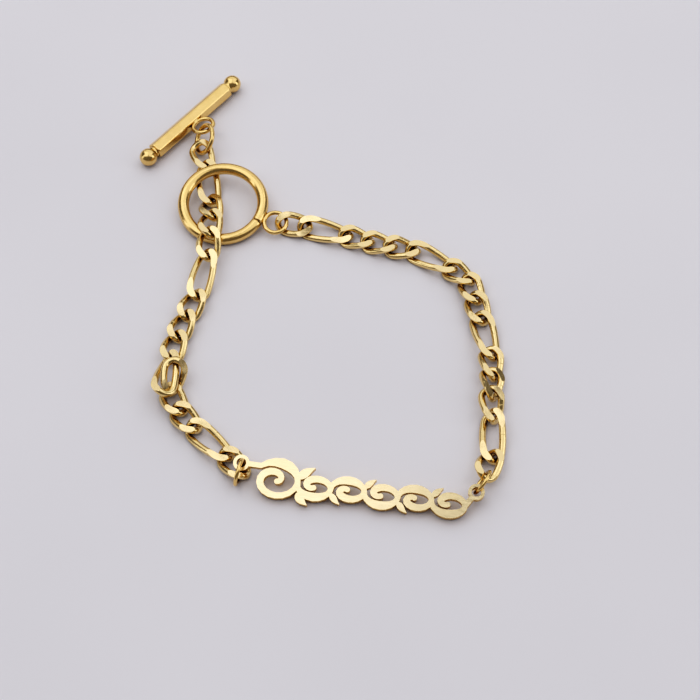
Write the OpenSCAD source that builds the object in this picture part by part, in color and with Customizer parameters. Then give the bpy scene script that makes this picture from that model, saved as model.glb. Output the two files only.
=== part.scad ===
// Nameplate bracelet with a toggle clasp, laid open on a table.
// A pierced plate hangs by two jump rings between two lengths of curb chain, with three short
// links to each long one. One length ends in a ring, the other in a bar that goes through it.
// +Z is up, the table is z = 0, and the plate lies at the front (-Y).

/* [Chain] */
// Wire that the chain links are bent from
link_wire = 1; // [0.9:0.02:1.06]
// Width over a link
link_width = 3.85; // [3.7:0.05:4]
// Length over a short link
short_length = 5.95; // [5.8:0.05:6.1]
// Length over a long link
long_length = 8.9; // [8.6:0.05:9.2]
// Thickness of the chain, ground flat on both faces
chain_thickness = 1.6; // [1.5:0.02:1.7]
// Turn of each link's ends against its middle, in degrees
link_twist = 45; // [42:1:48]

/* [Toggle ring] */
// Outer diameter of the toggle ring
ring_outer = 14; // [13.3:0.1:14.7]
// Wire of the toggle ring
ring_wire = 1.75; // [1.6:0.05:1.9]
// Outer diameter of the loop soldered to the toggle ring
ring_loop_outer = 4.1; // [3.9:0.05:4.3]
// Wire of the loop soldered to the toggle ring
ring_loop_wire = 0.66; // [0.6:0.01:0.72]

/* [Toggle bar] */
// Length over the toggle bar's balls
bar_length = 22.4; // [21:0.1:25]
// Six-sided bar, measured over its flats
bar_flats = 2.4; // [2.1:0.05:2.5]
// Diameter of the balls on the bar's ends
ball_d = 2.8; // [2.65:0.05:3]
// Outer diameter of the loop soldered to the bar
bar_loop_outer = 3.9; // [3.7:0.05:4.1]
// Wire of the loop soldered to the bar
bar_loop_wire = 0.66; // [0.6:0.01:0.72]

/* [Jump rings] */
// Outer diameter of the jump ring on the bar's loop
bar_jump_outer = 5.2; // [5:0.05:5.4]
// Wire of the jump ring on the bar's loop
bar_jump_wire = 0.74; // [0.66:0.02:0.8]
// Outer diameter of the jump rings in the plate's eyelets
plate_jump_outer = 4.1; // [3.9:0.05:4.3]
// Wire of the jump rings in the plate's eyelets
plate_jump_wire = 0.55; // [0.5:0.01:0.58]

/* [Plate] */
// Distance between the plate's two eyelet holes
plate_span = 33; // [32:0.5:34]
// Height of the openwork at its tall end
plate_height = 6.6; // [6.2:0.1:7]
// Thickness of the plate
plate_thickness = 1.15; // [1:0.05:1.3]
// Broadest stroke of the openwork
stroke_width = 1.5; // [1.3:0.05:1.7]
// Outer diameter of the eyelets cut at the plate's ends
eyelet_outer = 2.3; // [2.2:0.05:2.5]
// Hole through each eyelet
eyelet_hole = 1.35; // [1.3:0.05:1.4]

/* [Hidden] */
$fn = 48;
LEFT = "left_link_";
RIGHT = "right_link_";
gold = "#d8b060";
pale_gold = "#f0dca0";

// Depth that a soldered loop's wire sinks into its carrier
solder_depth = 0.3;

// Places on the table
plate_middle = [6.6, -33.6];
plate_turn = -8;
left_eyelet = plate_middle - plate_span / 2 * [cos(plate_turn), sin(plate_turn)];
right_eyelet = plate_middle + plate_span / 2 * [cos(plate_turn), sin(plate_turn)];

// The route of the chain, in stretches that each run on without a fold. A stretch is
// [its links, the roll of each link, its route], and the route's points are
// [x, y, lift], measured from the eyelet's hole. "s" is a short link, "l" a long one.
KINDS = 0;
ROLLS = 1;
ROUTE = 2;
left_stretches = [
    ["slssslsss", [-10, 0, 0, -5, 0, 0, 0, 5, 0],
        [[-8.6, 56.6, 0.8], [-7.4, 52.8, 0.3], [-6.4, 45.8, 0.2], [-6.1, 42.3, 1.5], [-6.2, 38.9, 2],
         [-6.3, 35.2, 1.4], [-7.7, 28.5, 0.4], [-9.1, 25, 0.3], [-10.4, 20.9, 0.3], [-11, 17.7, 0.5]]],
    ["l", [15], [[-11.1, 18, 0.3], [-11.6, 10.9, 2.1]]],
    ["s", [-30], [[-9.9, 16, 2.5], [-10.8, 11.6, 0.3]]],
    ["s", [0], [[-11.1, 12.4, 0.2], [-9.3, 8.7, 0.3]]],
    ["sls", [0, 0, 0], [[-9.5, 8.9, 0.2], [-7.2, 6.1, 0.2], [-2.3, 1.5, 0.1], [0, -1.2, 0.1]]]];
right_stretches = [
    ["slssslssslsssls", [25, 10, 0, 0, 0, 0, -5, 0, 0, -10, -20, -30, -20, 5, 0],
        [[-27.9, 46.4, 0.6], [-24, 45.8, 0.3], [-17.5, 44.2, 0], [-14.1, 43, 0.1], [-10.5, 42, 0.3],
         [-7.1, 41.3, 0], [-1.9, 38, 0.1], [0.2, 36, 0.2], [1, 33, 0.4], [1.6, 30, 0.2], [2.8, 24.1, 0.5],
         [3.1, 20.4, 0.4], [2.7, 16.3, 1.1], [2.8, 12.6, 0.5], [2.5, 5.7, 0.3], [1.3, 2.8, 1.1]]]];

// A point at distance s along a route: its points are joined by a smooth curve through them
curve_steps = 12;

function curve_point(p, i, t) =
    let (a = p[max(i - 1, 0)], b = p[i], c = p[i + 1], d = p[min(i + 2, len(p) - 1)])
    b + t * ((c - a) + t * ((2 * a - 5 * b + 4 * c - d) + t * (3 * b - a - 3 * c + d))) / 2;

function curve(p) = [
    for (i = [0 : len(p) - 2], k = [0 : curve_steps - 1]) curve_point(p, i, k / curve_steps),
    p[len(p) - 1]];

function running_lengths(p) =
    [for (i = 0, s = 0; i < len(p); s = s + (i + 1 < len(p) ? norm(p[i + 1] - p[i]) : 0), i = i + 1) s];

function at_distance(lengths, p, s) =
    [for (axis = [0 : 2]) lookup(s, [for (i = [0 : len(p) - 1]) [lengths[i], p[i][axis]]])];

// The links of a stretch share its route out by their inner lengths
function link_length(kind) = kind == "l" ? long_length : short_length;
function pitch(kind) = link_length(kind) - 2 * link_wire;
function pitches(kinds, n) = n == 0 ? 0 : pitch(kinds[n - 1]) + pitches(kinds, n - 1);

// Every link of a chain as [length, roll, start, end], where it starts and ends at its neighbours
function chain_links(stretches, eyelet) = [
    for (s = stretches)
        let (kinds = s[KINDS],
             line = curve(s[ROUTE]),
             lengths = running_lengths(line),
             scale_to_route = lengths[len(lengths) - 1] / pitches(kinds, len(kinds)),
             base = [eyelet[0], eyelet[1], chain_thickness / 2])
        for (i = [0 : len(kinds) - 1])
            [link_length(kinds[i]), s[ROLLS][i],
             base + at_distance(lengths, line, scale_to_route * pitches(kinds, i)),
             base + at_distance(lengths, line, scale_to_route * pitches(kinds, i + 1))]];

left_chain = chain_links(left_stretches, left_eyelet);
right_chain = chain_links(right_stretches, right_eyelet);

// Link
end_steps = 6;
wire_sides = 6;
centre_radius = (link_width - link_wire) / 2;

// Centre line of a link seen flat, as [x, y, outward x, outward y]: right end, side, left end, side
function flat_line(length) =
    let (half = (length - link_width) / 2)
    [for (side = [0, 1], step = [0 : end_steps + 1])
        let (on_end = step <= end_steps,
             a = side * 180 - 90 + step * 180 / end_steps,
             ox = on_end ? cos(a) : 0,
             oy = on_end ? sin(a) : 1 - 2 * side,
             middle = on_end ? half * (1 - 2 * side) : 0)
        [middle + centre_radius * ox, centre_radius * oy, ox, oy]];

// A point on the link's wire: the flat line turns more and more towards the link's two ends,
// and what then stands proud of the ground faces is cut off
function wire_point(length, p, a) =
    let (turn = -link_twist * 2 * p[0] / (length - link_wire),
         out = link_wire / 2 * cos(a),
         up = link_wire / 2 * sin(a),
         y = p[1] + out * p[3],
         face = chain_thickness / 2)
    [p[0] + out * p[2],
     y * cos(turn) - up * sin(turn),
     max(-face, min(face, y * sin(turn) + up * cos(turn)))];

module link(length) {
    line = flat_line(length);
    rows = len(line);
    polyhedron(
        points = [for (p = line, k = [0 : wire_sides - 1]) wire_point(length, p, k * 360 / wire_sides)],
        faces = [for (i = [0 : rows - 1], k = [0 : wire_sides - 1])
            let (next_row = (i + 1) % rows, next_side = (k + 1) % wire_sides)
            for (half = [0, 1])
                half == 0
                    ? [i * wire_sides + k, i * wire_sides + next_side, next_row * wire_sides + next_side]
                    : [i * wire_sides + k, next_row * wire_sides + next_side, next_row * wire_sides + k]]);
}

module chain_link(chain, i) {
    start = chain[i][2];
    way = chain[i][3] - start;
    color(gold)
        translate(start + way / 2)
        rotate([chain[i][1], -asin(way[2] / norm(way)), atan2(way[1], way[0])])
        link(chain[i][0]);
}

// Clasp
// A closed ring of round wire, flat in the XY plane
module wire_ring(outer, wire) {
    rotate_extrude() translate([(outer - wire) / 2, 0]) circle(d = wire);
}

// The toggle ring lies on the table at its front and on the chain at its back, with its loop on
// the first link
ring_at = [-14.15, 13.85];
ring_lift_way = 87;
ring_tilt = 8.9;
ring_loop_turn = -22;
ring_loop_way = ring_outer / 2 + ring_loop_outer / 2 - solder_depth;
ring_joint_turn = ring_loop_turn - 9;
ring_joint_width = 0.12;
ring_joint_depth = 0.15;

// The thin gap where the ring's wire butts together
module ring_joint() {
    core = ring_wire - 2 * ring_joint_depth;
    translate([(ring_outer - ring_wire) / 2, 0, 0]) rotate([90, 0, 0]) difference() {
        cylinder(d = 2 * ring_wire, h = ring_joint_width, center = true);
        cylinder(d = core, h = 2 * ring_joint_width, center = true);
    }
}

module toggle_ring() {
    color(gold)
        translate([ring_at[0], ring_at[1], ring_wire / 2 + (ring_outer - ring_wire) / 2 * sin(ring_tilt)])
        rotate([0, 0, ring_lift_way]) rotate([0, -ring_tilt, 0]) rotate([0, 0, -ring_lift_way]) {
            difference() {
                wire_ring(ring_outer, ring_wire);
                rotate([0, 0, ring_joint_turn]) ring_joint();
            }
            rotate([0, 0, ring_loop_turn]) translate([ring_loop_way, 0, 0])
                wire_ring(ring_loop_outer, ring_loop_wire);
        }
}

// Jump rings stand on the table, as [middle, lean, the way the raised side points]
PLACE = 0;
LEAN = 1;
WAY = 2;
bar_jump_stand = [[-17.55, 26.25], 54, 12];
left_plate_jump_stand = [left_eyelet + [-0.35, -1.65], 85, -15];
right_plate_jump_stand = [right_eyelet + [0.85, 1.4], 70, -30];

module standing_ring(stand, outer, wire) {
    color(gold)
        translate([stand[PLACE][0], stand[PLACE][1], wire / 2 + (outer - wire) / 2 * sin(stand[LEAN])])
        rotate([0, 0, stand[WAY]]) rotate([0, -stand[LEAN], 0]) wire_ring(outer, wire);
}

module bar_jump_ring() {
    standing_ring(bar_jump_stand, bar_jump_outer, bar_jump_wire);
}

module left_plate_jump_ring() {
    standing_ring(left_plate_jump_stand, plate_jump_outer, plate_jump_wire);
}

module right_plate_jump_ring() {
    standing_ring(right_plate_jump_stand, plate_jump_outer, plate_jump_wire);
}

// The bar lies on its balls. Its loop is soldered to the middle of a flat and leans up on the
// jump ring.
bar_at = [-19.98, 30.8];
bar_turn = 50;
bar_roll = 15;
bar_loop_way = (bar_flats + bar_loop_outer) / 2 - solder_depth;
bar_neck_d = 0.75 * bar_flats;
bar_neck_length = 0.05;

module toggle_bar() {
    ball_way = (bar_length - ball_d) / 2;
    shaft = 2 * (ball_way - ball_d / 2 - bar_neck_length);
    color(gold)
        translate([bar_at[0], bar_at[1], ball_d / 2])
        rotate([0, 0, bar_turn]) rotate([-bar_roll, 0, 0]) {
            rotate([0, 90, 0]) {
                cylinder(d = 2 * bar_flats / sqrt(3), h = shaft, center = true, $fn = 6);
                cylinder(d = bar_neck_d, h = 2 * ball_way, center = true);
                for (side = [-1, 1]) translate([0, 0, side * ball_way]) sphere(d = ball_d);
            }
            translate([0, -bar_loop_way, 0]) wire_ring(bar_loop_outer, bar_loop_wire);
        }
}

// Nameplate
// The plate leans on its front edge, its eyelets raised on the last link and the jump rings
eyelet_rise = 1.2;
plate_front = 0.745 * plate_height;
plate_lean = asin(eyelet_rise / plate_front);
cut_corner = 0.06;
corner_facets = 8;
eyelet_facets = 40;
berry_facets = 16;

// The openwork is a vine. Its stem leaves the left eyelet, arches over one tall bay, swings round a
// row of small bays, below and above in turn, and rises to the right eyelet. In each bay a curl
// leaves it and winds in to a berry, and a leaf stands in every notch between two bays.
bays = 5;
bay_half = 0.071 * plate_span;
bay_height = 0.225 * plate_height;
row_middle = -0.32 * plate_height;
tall_half = 0.096 * plate_span;
tall_height = (plate_height - stroke_width) / 2;
tall_middle = -0.28 * plate_height;
first_bay = -0.179 * plate_span;
tall_bay = first_bay - bay_half - tall_half;
arc_step = 20;

// Breadths along the vine as shares of stroke_width
thin = 0.5;
arch_thick = 1;
row_thick = 0.8;
curl_thick = 0.68;
berry = 0.52;

// Part of an oval bay as a row of [x, y, breadth], winding in from its first share of the bay to its last
function bay_line(x, y, half, height, from, to, first, last, thick) =
    let (steps = ceil(abs(to - from) / arc_step)) [
    for (i = [0 : steps])
        let (t = i / steps, a = from + (to - from) * t, share = first + (last - first) * pow(t, 1.3))
        [x + half * share * cos(a), y + height * share * sin(a),
         stroke_width * (thin + (thick - thin) * pow(sin(180 * t), 2))]];

// Even bays hang below the row's middle and odd ones stand above it
function bay_x(i) = first_bay + 2 * bay_half * i;
function bay_side(i) = i % 2 == 0 ? -1 : 1;

stem_line = concat(
    [[-plate_span / 2, 0, stroke_width * thin]],
    bay_line(tall_bay, tall_middle, tall_half, tall_height, 135, 0, 1, 1, arch_thick),
    [for (i = [0 : bays - 1]) each
        bay_line(bay_x(i), row_middle, bay_half, bay_height, 180 + bay_side(i) * -15,
            180 - bay_side(i) * (i < bays - 1 ? 165 : 180), 1, 1, row_thick)],
    [[plate_span / 2, 0, stroke_width * thin]]);

// A flat band of changing breadth along a line of [x, y, breadth]
module band(line) {
    last = len(line) - 1;
    edges = [for (i = [0 : last])
        let (way = line[min(i + 1, last)] - line[max(i - 1, 0)],
             middle = [line[i][0], line[i][1]],
             across = [-way[1], way[0]] / norm([way[0], way[1]]) * line[i][2] / 2)
        [middle + across, middle - across]];
    polygon(concat([for (e = edges) e[0]], [for (i = [last : -1 : 0]) edges[i][1]]));
}

// A curl goes on round the bay where the stem turns away, and winds in to its berry
module curl(x, y, half, height, side, sweep, last) {
    line = bay_line(x, y, half, height, side * 15, -side * sweep, 1, last, curl_thick);
    end = line[len(line) - 1];
    band(line);
    translate([end[0], end[1]]) circle(d = berry * stroke_width, $fn = berry_facets);
}

// A pointed leaf from its foot, bent to one side
module leaf(x, y, turn, length, breadth, bend) {
    steps = 8;
    tip = 0.08;
    band([for (i = [0 : steps])
        let (t = i / steps)
        [x + length * (t * cos(turn) - bend * t * t * sin(turn)),
         y + length * (t * sin(turn) + bend * t * t * cos(turn)),
         max(tip, breadth * sin(180 * pow(t, 0.75)))]]);
}

module openwork() {
    band(stem_line);
    curl(tall_bay, tall_middle, tall_half, tall_height, 1, 400, 0.1);
    for (i = [0 : bays - 1])
        curl(bay_x(i), row_middle, bay_half, bay_height, bay_side(i), 255, 0.12);
    // Leaves
    leaf(first_bay - bay_half, row_middle + 0.5 * bay_height, 58,
        0.42 * plate_height, 0.85 * stroke_width, -0.3);
    leaf(first_bay - bay_half, row_middle - 0.8 * bay_height, -60,
        0.33 * plate_height, 0.8 * stroke_width, 0.3);
    for (i = [0 : bays - 2])
        leaf(bay_x(i) + bay_half, row_middle + bay_side(i) * 0.4 * bay_height, bay_side(i) * 62,
            0.3 * plate_height, 0.6 * stroke_width, -bay_side(i) * 0.3);
    for (side = [-1, 1])
        translate([side * plate_span / 2, 0]) circle(d = eyelet_outer, $fn = eyelet_facets);
}

module nameplate() {
    color(pale_gold)
        translate([plate_middle[0], plate_middle[1], plate_front * sin(plate_lean)])
        rotate([0, 0, plate_turn]) rotate([plate_lean, 0, 0])
        difference() {
            linear_extrude(plate_thickness)
                offset(r = cut_corner, $fn = corner_facets) offset(delta = -cut_corner) openwork();
            for (side = [-1, 1]) translate([side * plate_span / 2, 0, -1])
                cylinder(d = eyelet_hole, h = plate_thickness + 2);
        }
}

toggle_bar();
bar_jump_ring();
toggle_ring();
for (i = [0 : 14]) chain_link(left_chain, i);
for (i = [0 : 14]) chain_link(right_chain, i);
left_plate_jump_ring();
right_plate_jump_ring();
nameplate();
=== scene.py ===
"""A gold-tone bracelet laid open on a pale cloth: curb chain, pierced plate, toggle ring and bar."""
import math

import bmesh
import bpy
import numpy as np
from mathutils import Matrix, Vector


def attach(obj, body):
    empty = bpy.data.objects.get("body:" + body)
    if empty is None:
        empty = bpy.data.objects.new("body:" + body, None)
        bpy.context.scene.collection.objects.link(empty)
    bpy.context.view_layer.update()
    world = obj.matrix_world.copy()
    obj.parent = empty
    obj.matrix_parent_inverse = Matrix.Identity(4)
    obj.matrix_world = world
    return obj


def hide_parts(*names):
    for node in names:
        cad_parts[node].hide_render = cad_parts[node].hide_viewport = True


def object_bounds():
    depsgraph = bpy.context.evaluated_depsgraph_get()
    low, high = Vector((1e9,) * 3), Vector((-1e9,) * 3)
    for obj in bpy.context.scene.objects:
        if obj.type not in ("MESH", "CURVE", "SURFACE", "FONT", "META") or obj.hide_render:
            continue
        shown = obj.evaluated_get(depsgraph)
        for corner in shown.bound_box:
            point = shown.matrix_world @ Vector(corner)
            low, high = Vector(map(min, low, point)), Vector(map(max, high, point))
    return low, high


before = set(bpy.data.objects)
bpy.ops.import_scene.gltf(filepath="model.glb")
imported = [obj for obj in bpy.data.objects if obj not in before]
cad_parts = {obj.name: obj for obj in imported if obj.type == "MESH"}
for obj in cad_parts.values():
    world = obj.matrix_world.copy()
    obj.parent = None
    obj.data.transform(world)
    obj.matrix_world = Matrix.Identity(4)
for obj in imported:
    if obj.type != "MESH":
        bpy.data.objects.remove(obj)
cad_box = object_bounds()

# A millimetre in metres. Named sizes are real ones in millimetres, and named angles are in degrees,
# unless the name or a comment says otherwise.
MM = 0.001

# Curb chain. Each link is round stainless wire bent to an oval, twisted from end to end and hooked
# through the next, so that the chain lies flat. The finished chain is ground on both faces, which
# leaves four bright flats on each link, and is then plated with gold.
LINK_WIRE = 1.02
LINK_WIDTH = 3.87
SHORT_LINK = 5.97
LONG_LINK = 8.92
LINKS_A_SIDE = 15
FIRST_LONG = 2
LONG_EVERY = 4
CHAIN_THICKNESS = 1.58
LINK_TWIST = 45
JOINT_STEP = 0.03
JOINT_SHARE = 0.93
FLAT_EASE = 0.07
WIRE_SIDES = 20
BEND_STEPS = 20
RUN_STEPS_PER_MM = 1.6
SAME_PLACE = 1e-5


def skin(bm, rows, closed=True):
    """Smooth faces over rows of points. A row is a ring, and the last row meets the first where closed."""
    rings = [[bm.verts.new(point) for point in row] for row in rows]
    made = []
    for i in range(len(rings) if closed else len(rings) - 1):
        a, b = rings[i], rings[(i + 1) % len(rings)]
        for k in range(len(a)):
            n = (k + 1) % len(a)
            made.append(bm.faces.new((a[k], a[n], b[n], b[k])))
    if not closed:
        made += [bm.faces.new(rings[0][::-1]), bm.faces.new(rings[-1])]
    for face in made:
        face.smooth = True


def link_stations(length):
    """Places along a link's wire: the point, the way outward, and the share of the wire left there.
    The wire's two ends meet half way along one side, in a fine groove."""
    half = (length - LINK_WIDTH) / 2
    radius = (LINK_WIDTH - LINK_WIRE) / 2
    run_steps = round(length * RUN_STEPS_PER_MM)
    joint = [step * JOINT_STEP for step in (-2, -1, 0, 1, 2)]
    stations = []
    for side in (1, -1):
        for step in range(BEND_STEPS + 1):
            a = math.pi * (step / BEND_STEPS - 0.5)
            point = side * (half + radius * math.cos(a)), side * radius * math.sin(a)
            stations.append((*point, side * math.cos(a), side * math.sin(a), 1))
        runs = [half * (1 - 2 * i / run_steps) for i in range(1, run_steps)]
        if side == 1:
            runs = sorted([x for x in runs if abs(x) > 3 * JOINT_STEP] + joint, reverse=True)
        for x in runs:
            stations.append((side * x, side * radius, 0, side, JOINT_SHARE if side == 1 and x == 0 else 1))
    return stations


def link_rows(length):
    """Rings of points round the wire of one link, which is twisted evenly from end to end."""
    rows = []
    for x, y, out_x, out_y, share in link_stations(length):
        turn = -math.radians(LINK_TWIST) * 2 * x / (length - LINK_WIRE)
        ring = []
        for k in range(WIRE_SIDES):
            a = 2 * math.pi * k / WIRE_SIDES
            out, up = share * LINK_WIRE / 2 * math.cos(a), share * LINK_WIRE / 2 * math.sin(a)
            across = y + out * out_y
            ring.append((x + out * out_x, across * math.cos(turn) - up * math.sin(turn),
                         across * math.sin(turn) + up * math.cos(turn)))
        rows.append(ring)
    return rows


def ease_rims(bm, width):
    """Rounds the rims between two materials, as tumbling does. The rounds are in the first material."""
    rims = [e for e in bm.edges if len({f.material_index for f in e.link_faces}) == 2]
    eased = bmesh.ops.bevel(bm, geom=rims, offset=width, offset_type="OFFSET", segments=2, profile=0.5,
                            affect="EDGES", clamp_overlap=True, material=0)
    for face in eased["faces"]:
        face.smooth = True


def finished_mesh(name, bm, materials):
    """The mesh of a shape that was built in millimetres, in metres and with its materials."""
    bmesh.ops.scale(bm, vec=(MM, MM, MM), verts=bm.verts)
    mesh = bpy.data.meshes.new(name)
    bm.to_mesh(mesh)
    bm.free()
    for material in materials:
        mesh.materials.append(material)
    return mesh


def link_mesh(name, length, materials):
    """One link: the twisted wire, cut flat by the two grinding planes, with the flats' rims eased."""
    bm = bmesh.new()
    skin(bm, link_rows(length))
    bmesh.ops.recalc_face_normals(bm, faces=bm.faces)
    for way in (1, -1):
        cut = bmesh.ops.bisect_plane(bm, geom=bm.verts[:] + bm.edges[:] + bm.faces[:], dist=SAME_PLACE,
                                     plane_co=(0, 0, way * CHAIN_THICKNESS / 2), plane_no=(0, 0, way),
                                     clear_outer=True)
        rim = [e for e in cut["geom_cut"] if isinstance(e, bmesh.types.BMEdge)]
        flats = bmesh.ops.holes_fill(bm, edges=rim, sides=0)["faces"]
        bmesh.ops.recalc_face_normals(bm, faces=bm.faces)
        for face in flats:
            face.material_index = 1
            face.smooth = False
    ease_rims(bm, FLAT_EASE)
    return finished_mesh(name, bm, materials)


def lie_of(cad_name):
    """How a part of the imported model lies: a matrix of its long, broad and thin way and its middle,
    and its lowest and highest reach along the three."""
    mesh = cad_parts[cad_name].data
    mesh.calc_loop_triangles()
    points = np.array([v.co for v in mesh.vertices])
    tri = points[np.array([t.vertices[:] for t in mesh.loop_triangles])]
    area = np.linalg.norm(np.cross(tri[:, 1] - tri[:, 0], tri[:, 2] - tri[:, 0]), axis=1) / 2
    middle = (area[:, None] * tri.mean(1)).sum(0) / area.sum()
    tri = tri - middle
    corner_sum = tri.sum(1)
    spread = np.einsum("n,nki,nkj->ij", area, tri, tri)
    spread += np.einsum("n,ni,nj->ij", area, corner_sum, corner_sum)
    ways = np.linalg.eigh(spread)[1][:, ::-1]
    if np.linalg.det(ways) < 0:
        ways[:, 2] *= -1
    reach = (points - middle) @ ways
    lie = Matrix(ways.tolist()).to_4x4()
    lie.translation = Vector(middle)
    return lie, reach.min(0), reach.max(0)


def stand_in(name, mesh, place, cad_name):
    """A piece in its place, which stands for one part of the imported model."""
    piece = bpy.data.objects.new(name, mesh)
    bpy.context.collection.objects.link(piece)
    piece.matrix_world = place
    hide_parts(cad_name)
    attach(piece, "root")


def linear(code):
    """An sRGB hex colour as linear red, green, blue and alpha."""
    parts = [int(code[i:i + 2], 16) / 255 for i in (1, 3, 5)]
    return tuple(c / 12.92 if c <= 0.04045 else ((c + 0.055) / 1.055) ** 2.4 for c in parts) + (1,)


def node(tree, kind, inputs=None, **settings):
    """A shader node with its settings, and its inputs set or linked."""
    made = tree.nodes.new("ShaderNode" + kind)
    for name, value in settings.items():
        setattr(made, name, value)
    for name, value in (inputs or {}).items():
        if isinstance(value, bpy.types.NodeSocket):
            tree.links.new(value, made.inputs[name])
        else:
            made.inputs[name].default_value = value
    return made


def new_material(name):
    """A named material with an empty tree, and the tree."""
    material = bpy.data.materials.new(name)
    material.use_nodes = True
    material.node_tree.nodes.clear()
    return material, material.node_tree


# Painted shade: every plating's colour is painted browner in its corners, where other metal is nearer than
# this.
PAINTED_SHADE_REACH = 0.9


def with_painted_corner_shade(tree, tone):
    """A plating's tone with painted shade: browner in the corners, where other metal is near."""
    occlusion = node(tree, "AmbientOcclusion", {"Distance": PAINTED_SHADE_REACH * MM}, samples=8)
    unshaded = node(tree, "MapRange", {"Value": occlusion.outputs["AO"], "From Min": 0.2, "From Max": 0.75})
    # The brown here is painted shade, mixed in where the occlusion is deep.
    return node(tree, "MixRGB", {"Fac": unshaded.outputs["Result"], "Color1": linear("#7E5B20"),
                                 "Color2": tone.outputs["Color"]})


def plate_with_gold(tree, tone, gloss, relief):
    """Finishes a plating's tree: a metal of this tone, gloss and relief."""
    shader = node(tree, "BsdfPrincipled", {"Base Color": tone.outputs["Color"], "Metallic": 1.0,
                                           "Roughness": gloss.outputs["Result"],
                                           "Normal": relief.outputs["Normal"]})
    node(tree, "OutputMaterial", {"Surface": shader.outputs["BSDF"]})


# Gold plating on tumbled wire. Tumbling with steel shot leaves a bright skin with faint dents, and
# the plating is a touch redder in patches where it is thin.
DENT_SPACING = 0.6
DENT_DEPTH = 0.012
PATCH_SPACING = 2.2
tumbled_gold, tree = new_material("gold_plated_steel_tumbled")
place = node(tree, "TexCoord").outputs["Object"]
dents = node(tree, "TexNoise", {"Vector": place, "Scale": 1 / (DENT_SPACING * MM), "Detail": 3,
                                "Roughness": 0.55})
patches = node(tree, "TexNoise", {"Vector": place, "Scale": 1 / (PATCH_SPACING * MM), "Detail": 2})
tone = node(tree, "MixRGB", {"Fac": patches.outputs["Fac"], "Color1": linear("#F4DBA4"),
                             "Color2": linear("#E6C98F")})
gloss = node(tree, "MapRange", {"Value": dents.outputs["Fac"], "From Min": 0.3, "From Max": 0.7,
                                "To Min": 0.10, "To Max": 0.24})
relief = node(tree, "Bump", {"Height": dents.outputs["Fac"], "Strength": 0.6,
                             "Distance": DENT_DEPTH * MM})
plate_with_gold(tree, with_painted_corner_shade(tree, tone), gloss, relief)

# Gold plating on ground steel. The wheel leaves fine straight lines along the chain; they are finer
# than 0.05 mm and are drawn wider apart so that they show. The flats also swell a little, so that
# each of them mirrors the room unevenly.
LINE_SPACING = 0.15
LINE_DEPTH = 0.004
SWELL_SPACING = 1.8
SWELL_HEIGHT = 0.12
ground_gold, tree = new_material("gold_plated_steel_ground")
place = node(tree, "TexCoord").outputs["Object"]
along = node(tree, "Mapping", {"Vector": place, "Scale": (0.12, 1.0, 1.0)})
lines = node(tree, "TexNoise", {"Vector": along.outputs["Vector"], "Scale": 1 / (LINE_SPACING * MM),
                                "Detail": 2})
patches = node(tree, "TexNoise", {"Vector": place, "Scale": 1 / (PATCH_SPACING * MM), "Detail": 2})
tone = node(tree, "MixRGB", {"Fac": patches.outputs["Fac"], "Color1": linear("#F8E1AF"),
                             "Color2": linear("#ECD19D")})
gloss = node(tree, "MapRange", {"Value": lines.outputs["Fac"], "From Min": 0.3, "From Max": 0.7,
                                "To Min": 0.12, "To Max": 0.26})
swell = node(tree, "TexNoise", {"Vector": place, "Scale": 1 / (SWELL_SPACING * MM), "Detail": 0})
dome = node(tree, "Bump", {"Height": swell.outputs["Fac"], "Strength": 1.0,
                           "Distance": SWELL_HEIGHT * MM})
relief = node(tree, "Bump", {"Height": lines.outputs["Fac"], "Strength": 0.4,
                             "Distance": LINE_DEPTH * MM, "Normal": dome.outputs["Normal"]})
plate_with_gold(tree, with_painted_corner_shade(tree, tone), gloss, relief)

short_link = link_mesh("short_link", SHORT_LINK, (tumbled_gold, ground_gold))
long_link = link_mesh("long_link", LONG_LINK, (tumbled_gold, ground_gold))
for side in ("left", "right"):
    for i in range(1, LINKS_A_SIDE + 1):
        cad_name = f"{side}_link_{i}"
        mesh = long_link if i % LONG_EVERY == FIRST_LONG else short_link
        stand_in(f"{side}_curb_link_{i}", mesh, lie_of(cad_name)[0], cad_name)

# Toggle ring. A closed ring of heavy round wire, its ends butted together in a fine seam, with a
# small wire loop soldered to it just beside the seam. The solder makes a small fillet on each side.
RING_OUTER = 14
RING_WIRE = 1.75
RING_LOOP_OUTER = 4.1
RING_LOOP_WIRE = 0.66
RING_SEAM = 351
RING_SEAM_WIDTH = 0.24
RING_SEAM_DEPTH = 0.3
SEAM_LIP = 0.985
LOOP_SINK = 0.3
SOLDER_LIFT = 0.42
SOLDER_FOOT = (0.8, 0.55)
RING_SOLDER_SINK = 0.25
RING_SOLDER_TOP = (0.42, 0.3)


def wire_ring(bm, outer, wire, steps, sides, middle=(0, 0, 0), seam=None):
    """A ring of round wire in its own plane. A seam, where the wire's ends meet in a groove, is given
    as its place round the ring, its width and its depth."""
    radius = (outer - wire) / 2
    turns = [(360 * i / steps, 1.0) for i in range(steps)]
    if seam:
        at, width, depth = seam
        half = math.degrees(width / 2 / radius)
        floor = 1 - 2 * depth / wire
        # The even steps next to the seam make room for its own.
        turns = [(a, s) for a, s in turns if abs((a - at + 180) % 360 - 180) > 2.5 * half]
        profile = ((-2, 1.0), (-1, SEAM_LIP), (-0.5, floor), (0.5, floor), (1, SEAM_LIP), (2, 1.0))
        turns = sorted(turns + [((at + t * half) % 360, s) for t, s in profile])
    rows = []
    for turn, share in turns:
        a = math.radians(turn)
        ring = []
        for k in range(sides):
            b = 2 * math.pi * k / sides
            r = radius + share * wire / 2 * math.cos(b)
            ring.append((middle[0] + r * math.cos(a), middle[1] + r * math.sin(a),
                         middle[2] + share * wire / 2 * math.sin(b)))
        rows.append(ring)
    skin(bm, rows)


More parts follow.
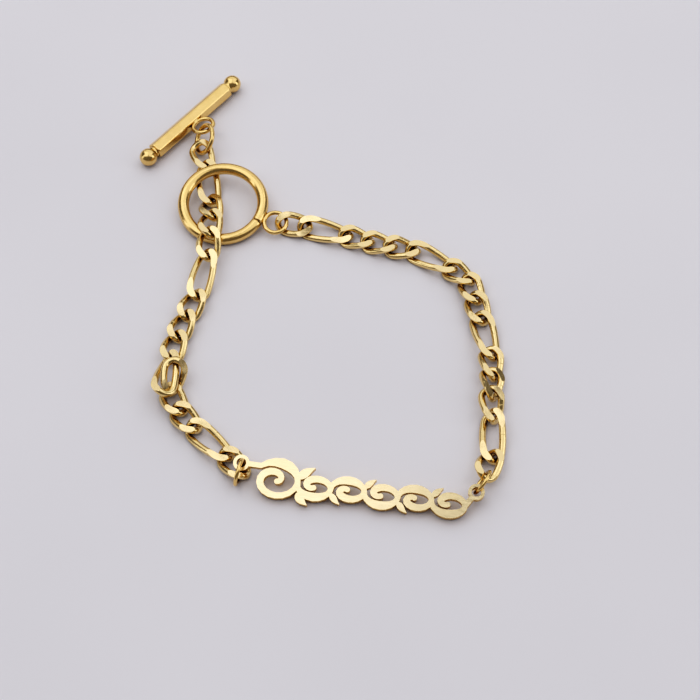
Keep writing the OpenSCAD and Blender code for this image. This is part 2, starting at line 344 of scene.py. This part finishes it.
def solder_fillet(bm, foot, way, top_size, steps=5, sides=20):
    """Solder drawn up from what carries a loop to the loop's wire: a neck that narrows in a hollow
    curve. Its foot and its top are ovals, and a size is half their width across and upward."""
    up = Vector((0, 0, 1))
    across = way.cross(up)
    rows = []
    for i in range(steps + 1):
        t = i / steps
        a, b = (top + (low - top) * (1 - t) ** 2 for low, top in zip(SOLDER_FOOT, top_size))
        turns = [2 * math.pi * k / sides for k in range(sides)]
        rows.append([Vector(foot) + way * SOLDER_LIFT * t + across * a * math.cos(turn)
                     + up * b * math.sin(turn) for turn in turns])
    skin(bm, rows, closed=False)


def make_piece(name, bm, place, cad_name, materials):
    """A shape in millimetres as a finished piece in its place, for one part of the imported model."""
    bmesh.ops.recalc_face_normals(bm, faces=bm.faces)
    stand_in(name, finished_mesh(name, bm, materials), place, cad_name)


# Gold plating on polished wire. It is buffed by hand after bending, so it mirrors the room in a
# slightly wavy skin, with hairlines that are drawn coarse so that they show.
WAVE_SPACING = 1.6
WAVE_HEIGHT = 0.02
HAIR_SPACING = 0.2
polished_gold, tree = new_material("gold_plated_steel_polished")
place = node(tree, "TexCoord").outputs["Object"]
waves = node(tree, "TexNoise", {"Vector": place, "Scale": 1 / (WAVE_SPACING * MM), "Detail": 2})
hairs = node(tree, "TexNoise", {"Vector": place, "Scale": 1 / (HAIR_SPACING * MM), "Detail": 3,
                                "Roughness": 0.6})
tone = node(tree, "MixRGB", {"Fac": waves.outputs["Fac"], "Color1": linear("#F1D193"),
                             "Color2": linear("#E3BF7E")})
gloss = node(tree, "MapRange", {"Value": hairs.outputs["Fac"], "From Min": 0.3, "From Max": 0.7,
                                "To Min": 0.14, "To Max": 0.26})
height = node(tree, "MixRGB", {"Fac": 0.12, "Color1": waves.outputs["Color"],
                               "Color2": hairs.outputs["Color"]})
relief = node(tree, "Bump", {"Height": height.outputs["Color"], "Strength": 0.5,
                             "Distance": WAVE_HEIGHT * MM})
plate_with_gold(tree, with_painted_corner_shade(tree, tone), gloss, relief)

# The ring is turned so that its loop is at the high end of its long way, and its upper side is up.
lie, low, high = lie_of("toggle_ring")
if high[0] < -low[0]:
    lie = lie @ Matrix.Rotation(math.pi, 4, "Z")
    low = -high
if lie.col[2][2] < 0:
    lie = lie @ Matrix.Rotation(math.pi, 4, "X")
ring_place = lie @ Matrix.Translation((low[0] + RING_OUTER / 2 * MM, 0, 0))
loop_way = (RING_OUTER + RING_LOOP_OUTER) / 2 - LOOP_SINK
bm = bmesh.new()
wire_ring(bm, RING_OUTER, RING_WIRE, steps=96, sides=24,
          seam=(RING_SEAM, RING_SEAM_WIDTH, RING_SEAM_DEPTH))
wire_ring(bm, RING_LOOP_OUTER, RING_LOOP_WIRE, steps=48, sides=16, middle=(loop_way, 0, 0))
solder_fillet(bm, (RING_OUTER / 2 - RING_SOLDER_SINK, 0, 0), Vector((1, 0, 0)), RING_SOLDER_TOP)
make_piece("toggle_ring_buffed", bm, ring_place, "toggle_ring", (polished_gold,))

# Toggle bar. A six-sided rod turned down to a short neck at each end, where a ball is left standing,
# with a small wire loop soldered to the middle of one side. It goes through the ring end first.
BAR_LENGTH = 22.4
BAR_FLATS = 2.4
CORNER_EASE = 0.07
END_EASE = 0.16
BALL = 2.8
BALL_STEPS = 14
BALL_TIP_RADIANS = 0.06
NECK = 0.75 * BAR_FLATS
NECK_LENGTH = 0.05
NECK_ROUND = 0.02
BAR_LOOP_OUTER = 3.9
BAR_LOOP_WIRE = 0.66
BAR_SOLDER_SINK = 0.06
BAR_SOLDER_TOP = (0.45, 0.32)
BAR_CRISP = 24

# Places of a flat's points round the bar, from one corner, and closer together at its corners.
FLAT_POINTS = (0, 4, 8, 12, 14, 22, 30, 38, 46, 48, 52, 56)

# The rod's eased end, in shares of END_EASE: how far along the bar, and how much off its width.
END_PROFILE = ((0, 2), (0.3, 0.6), (1, 0), (2, 0))

bar_turns = [math.radians(60 * flat - 30 + point) for flat in range(6) for point in FLAT_POINTS]


def bar_section(x, flats):
    """A ring of points round the bar at x: a hexagon over its flats, with eased corners."""
    ring = []
    for a in bar_turns:
        off = (a + math.pi / 6) % (math.pi / 3) - math.pi / 6
        r = min(flats / 2 / math.cos(off), flats / 2 / math.cos(math.pi / 6) - CORNER_EASE)
        ring.append((x, r * math.cos(a), r * math.sin(a)))
    return ring


def round_section(x, radius):
    """A round ring of points at x, in step with those of the hexagon."""
    return [(x, radius * math.cos(a), radius * math.sin(a)) for a in bar_turns]


def keep_crisp(bm, angle):
    """Leaves the edges that turn by more than this angle crisp."""
    for edge in bm.edges:
        if edge.calc_face_angle(0) > math.radians(angle):
            edge.smooth = False


ball_way = (BAR_LENGTH - BALL) / 2
shaft_end = ball_way - BALL / 2 - NECK_LENGTH
neck_turn = math.asin(NECK / BALL)
half_bar = []
for step in range(BALL_STEPS + 1):
    a = BALL_TIP_RADIANS + (math.pi - neck_turn - BALL_TIP_RADIANS) * step / BALL_STEPS
    half_bar.append(round_section(-(ball_way + BALL / 2 * math.cos(a)), BALL / 2 * math.sin(a)))
half_bar.append(round_section(-shaft_end - NECK_ROUND, NECK / 2))
half_bar.append(round_section(-shaft_end, NECK / 2 + NECK_ROUND))
for inward, off in END_PROFILE:
    half_bar.append(bar_section(-shaft_end + inward * END_EASE, BAR_FLATS - off * END_EASE))
other_half = [[(-x, y, z) for x, y, z in ring] for ring in half_bar[::-1]]

# The bar is turned so that its loop is at the high end of its broad way, and its upper side is up.
lie, low, high = lie_of("toggle_bar")
if high[1] < -low[1]:
    lie = lie @ Matrix.Rotation(math.pi, 4, "Z")
    low, high = -high, -low
if lie.col[2][2] < 0:
    lie = lie @ Matrix.Rotation(math.pi, 4, "Y")
bar_place = lie @ Matrix.Translation(((low[0] + high[0]) / 2, low[1] + BALL / 2 * MM, 0))
loop_side = (BAR_FLATS + BAR_LOOP_OUTER) / 2 - LOOP_SINK
bm = bmesh.new()
skin(bm, half_bar + other_half, closed=False)
keep_crisp(bm, BAR_CRISP)
wire_ring(bm, BAR_LOOP_OUTER, BAR_LOOP_WIRE, steps=48, sides=16, middle=(0, loop_side, 0))
solder_fillet(bm, (0, BAR_FLATS / 2 - BAR_SOLDER_SINK, 0), Vector((0, 1, 0)), BAR_SOLDER_TOP)
make_piece("toggle_bar_with_balls", bm, bar_place, "toggle_bar", (polished_gold,))

# Jump rings. Plain rings of thinner wire, cut from a coil and closed by twisting until the two cut
# ends meet, which leaves a hairline across the wire. One joins the bar to the chain, two the plate.
JUMP_SEAM_WIDTH = 0.05
JUMP_SEAM_DEPTH = 0.05
for cad_name, outer, wire, seam in (("bar_jump_ring", 5.2, 0.74, 200),
                                    ("left_plate_jump_ring", 4.1, 0.55, 40),
                                    ("right_plate_jump_ring", 4.1, 0.55, 130)):
    bm = bmesh.new()
    wire_ring(bm, outer, wire, steps=64, sides=16, seam=(seam, JUMP_SEAM_WIDTH, JUMP_SEAM_DEPTH))
    make_piece(cad_name + "_cut", bm, lie_of(cad_name)[0], cad_name, (polished_gold,))

# Pierced plate. Sheet steel cut by laser to a running vine with an eyelet at each end, tumbled so
# that its rims are just eased, buffed on its faces and plated with gold.
RIM_EASE = 0.05
PLATE_CRISP = 40
WELD = 0.002
STRAIGHT_WITHIN = 0.5

# Gold plating on buffed sheet. The faces are close to a mirror, with very faint waves, and with
# buffing lines that are drawn coarse so that they show.
SHEET_WAVE_SPACING = 3
SHEET_WAVE_HEIGHT = 0.03
BUFFING_LINE_SPACING = 0.25
sheet_gold, tree = new_material("gold_plated_sheet_buffed")
place = node(tree, "TexCoord").outputs["Object"]
waves = node(tree, "TexNoise", {"Vector": place, "Scale": 1 / (SHEET_WAVE_SPACING * MM), "Detail": 1})
along = node(tree, "Mapping", {"Vector": place, "Scale": (0.15, 1.0, 1.0)})
lines = node(tree, "TexNoise", {"Vector": along.outputs["Vector"],
                                "Scale": 1 / (BUFFING_LINE_SPACING * MM), "Detail": 2})
tone = node(tree, "MixRGB", {"Fac": waves.outputs["Fac"], "Color1": linear("#FBE8BF"),
                             "Color2": linear("#F3DBA8")})
gloss = node(tree, "MapRange", {"Value": lines.outputs["Fac"], "From Min": 0.3, "From Max": 0.7,
                                "To Min": 0.14, "To Max": 0.24})
height = node(tree, "MixRGB", {"Fac": 0.06, "Color1": waves.outputs["Color"],
                               "Color2": lines.outputs["Color"]})
relief = node(tree, "Bump", {"Height": height.outputs["Color"], "Strength": 0.4,
                             "Distance": SHEET_WAVE_HEIGHT * MM})
plate_with_gold(tree, with_painted_corner_shade(tree, tone), gloss, relief)

# Gold plating on a laser-cut edge. The beam leaves fine ribs straight through the sheet, about
# 0.08 mm apart, which are drawn coarser so that they show.
RIB_SPACING = 0.25
RIB_DEPTH = 0.02
edge_gold, tree = new_material("gold_plated_sheet_laser_cut_edge")
place = node(tree, "TexCoord").outputs["Object"]
through = node(tree, "Mapping", {"Vector": place, "Scale": (1.0, 1.0, 0.1)})
ribs = node(tree, "TexNoise", {"Vector": through.outputs["Vector"], "Scale": 1 / (RIB_SPACING * MM),
                               "Detail": 2})
tone = node(tree, "MixRGB", {"Fac": ribs.outputs["Fac"], "Color1": linear("#F0CB80"),
                             "Color2": linear("#DDB468")})
gloss = node(tree, "MapRange", {"Value": ribs.outputs["Fac"], "From Min": 0.3, "From Max": 0.7,
                                "To Min": 0.22, "To Max": 0.4})
relief = node(tree, "Bump", {"Height": ribs.outputs["Fac"], "Strength": 0.6,
                             "Distance": RIB_DEPTH * MM})
plate_with_gold(tree, tone, gloss, relief)

# The vine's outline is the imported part's own, laid flat, welded and freed of needless points.
lie = lie_of("nameplate")[0]
bm = bmesh.new()
bm.from_mesh(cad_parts["nameplate"].data)
bm.transform(Matrix.Scale(1 / MM, 4) @ lie.inverted())
bmesh.ops.remove_doubles(bm, verts=bm.verts, dist=WELD)
bmesh.ops.dissolve_limit(bm, angle_limit=math.radians(STRAIGHT_WITHIN), verts=bm.verts, edges=bm.edges)
for face in bm.faces:
    on_sheet = abs(face.normal.z) > 0.9
    face.smooth = not on_sheet
    face.material_index = 0 if on_sheet else 1
ease_rims(bm, RIM_EASE)
keep_crisp(bm, PLATE_CRISP)
make_piece("pierced_vine_plate", bm, lie, "nameplate", (sheet_gold, edge_gold))

# Cloth on the table: smooth pale satin, taut and plain. It isn't part of the bracelet, and lies a
# hair below it.
CLOTH_WIDTH = 1800
CLOTH_DROP = 0.02
CLOUD_SPACING = 60
satin, tree = new_material("pale_satin_weave")
place = node(tree, "TexCoord").outputs["Object"]
clouds = node(tree, "TexNoise", {"Vector": place, "Scale": 1 / (CLOUD_SPACING * MM), "Detail": 2})
tone = node(tree, "MixRGB", {"Fac": clouds.outputs["Fac"], "Color1": linear("#ECEAF1"),
                             "Color2": linear("#E2E0E7")})
shader = node(tree, "BsdfPrincipled", {"Base Color": tone.outputs["Color"], "Roughness": 0.6})
node(tree, "OutputMaterial", {"Surface": shader.outputs["BSDF"]})
bm = bmesh.new()
bmesh.ops.create_grid(bm, x_segments=8, y_segments=8, size=CLOTH_WIDTH / 2)
cloth = bpy.data.objects.new("cloth", finished_mesh("cloth", bm, (satin,)))
cloth.location = (0, 0, cad_box[0][2] - CLOTH_DROP * MM)
bpy.context.collection.objects.link(cloth)

# Studio. Two large soft boxes hang over the table, the left one brighter, and one stands behind it,
# with a strip at the left and the right. All of them face the bracelet; sizes are in metres. The room
# beyond is dim, which gives the gold its dark streaks.
for name, middle, size, brightness in (("overhead_left", (-0.22, 0.03, 0.56), (0.62, 0.5), 1.15),
                                       ("overhead_right", (0.28, 0.03, 0.56), (0.62, 0.5), 0.86),
                                       ("back", (0.0, 0.48, 0.4), (1.2, 0.5), 0.74),
                                       ("left_strip", (-0.6, -0.1, 0.25), (0.15, 0.5), 1.4),
                                       ("right_strip", (0.6, -0.07, 0.25), (0.25, 0.4), 1.5)):
    lamp = bpy.data.lights.new(name, "AREA")
    lamp.shape = "RECTANGLE"
    lamp.size, lamp.size_y = size
    lamp.energy = brightness * math.pi * size[0] * size[1]
    soft_box = bpy.data.objects.new(name, lamp)
    soft_box.location = middle
    soft_box.rotation_euler = (-Vector(middle)).to_track_quat("-Z", "Y").to_euler()
    soft_box.visible_camera = False
    bpy.context.collection.objects.link(soft_box)
room = bpy.data.worlds.new("dim_room")
room.use_nodes = True
room.node_tree.nodes["Background"].inputs["Color"].default_value = linear("#C9C6C8")
room.node_tree.nodes["Background"].inputs["Strength"].default_value = 0.28
bpy.context.scene.world = room

# The film: a photograph's deeper shadows and slightly brighter lights, as light in and light out.
FILM_CURVE = ((0.05, 0.02), (0.12, 0.085), (0.3, 0.3), (0.5, 0.54), (0.75, 0.79))
ALL_CHANNELS = 3
view = bpy.context.scene.view_settings
view.view_transform = "Standard"
view.use_curve_mapping = True
for light_in, light_out in FILM_CURVE:
    view.curve_mapping.curves[ALL_CHANNELS].points.new(light_in, light_out)
view.curve_mapping.update()

# Camera at the photograph's height, looking down at the middle of the view. The focal length is in
# pixels of the photograph's frame.
CAMERA_DISTANCE = 250
CAMERA_HEIGHT = 58
VIEW_MIDDLE = (5.4, -11.6, 0)
FOCAL_PIXELS = 1700
FRAME_PIXELS = 700
SENSOR = 36
target = Vector(VIEW_MIDDLE) * MM
height_angle = math.radians(CAMERA_HEIGHT)
camera_way = Vector((0, -math.cos(height_angle), math.sin(height_angle)))
lens = bpy.data.cameras.new("camera")
lens.sensor_width = SENSOR
lens.lens = SENSOR * FOCAL_PIXELS / FRAME_PIXELS
lens.clip_start = MM
camera = bpy.data.objects.new("camera", lens)
camera.location = target + camera_way * CAMERA_DISTANCE * MM
camera.rotation_euler = (-camera_way).to_track_quat("-Z", "Y").to_euler()
bpy.context.collection.objects.link(camera)
bpy.context.scene.camera = camera
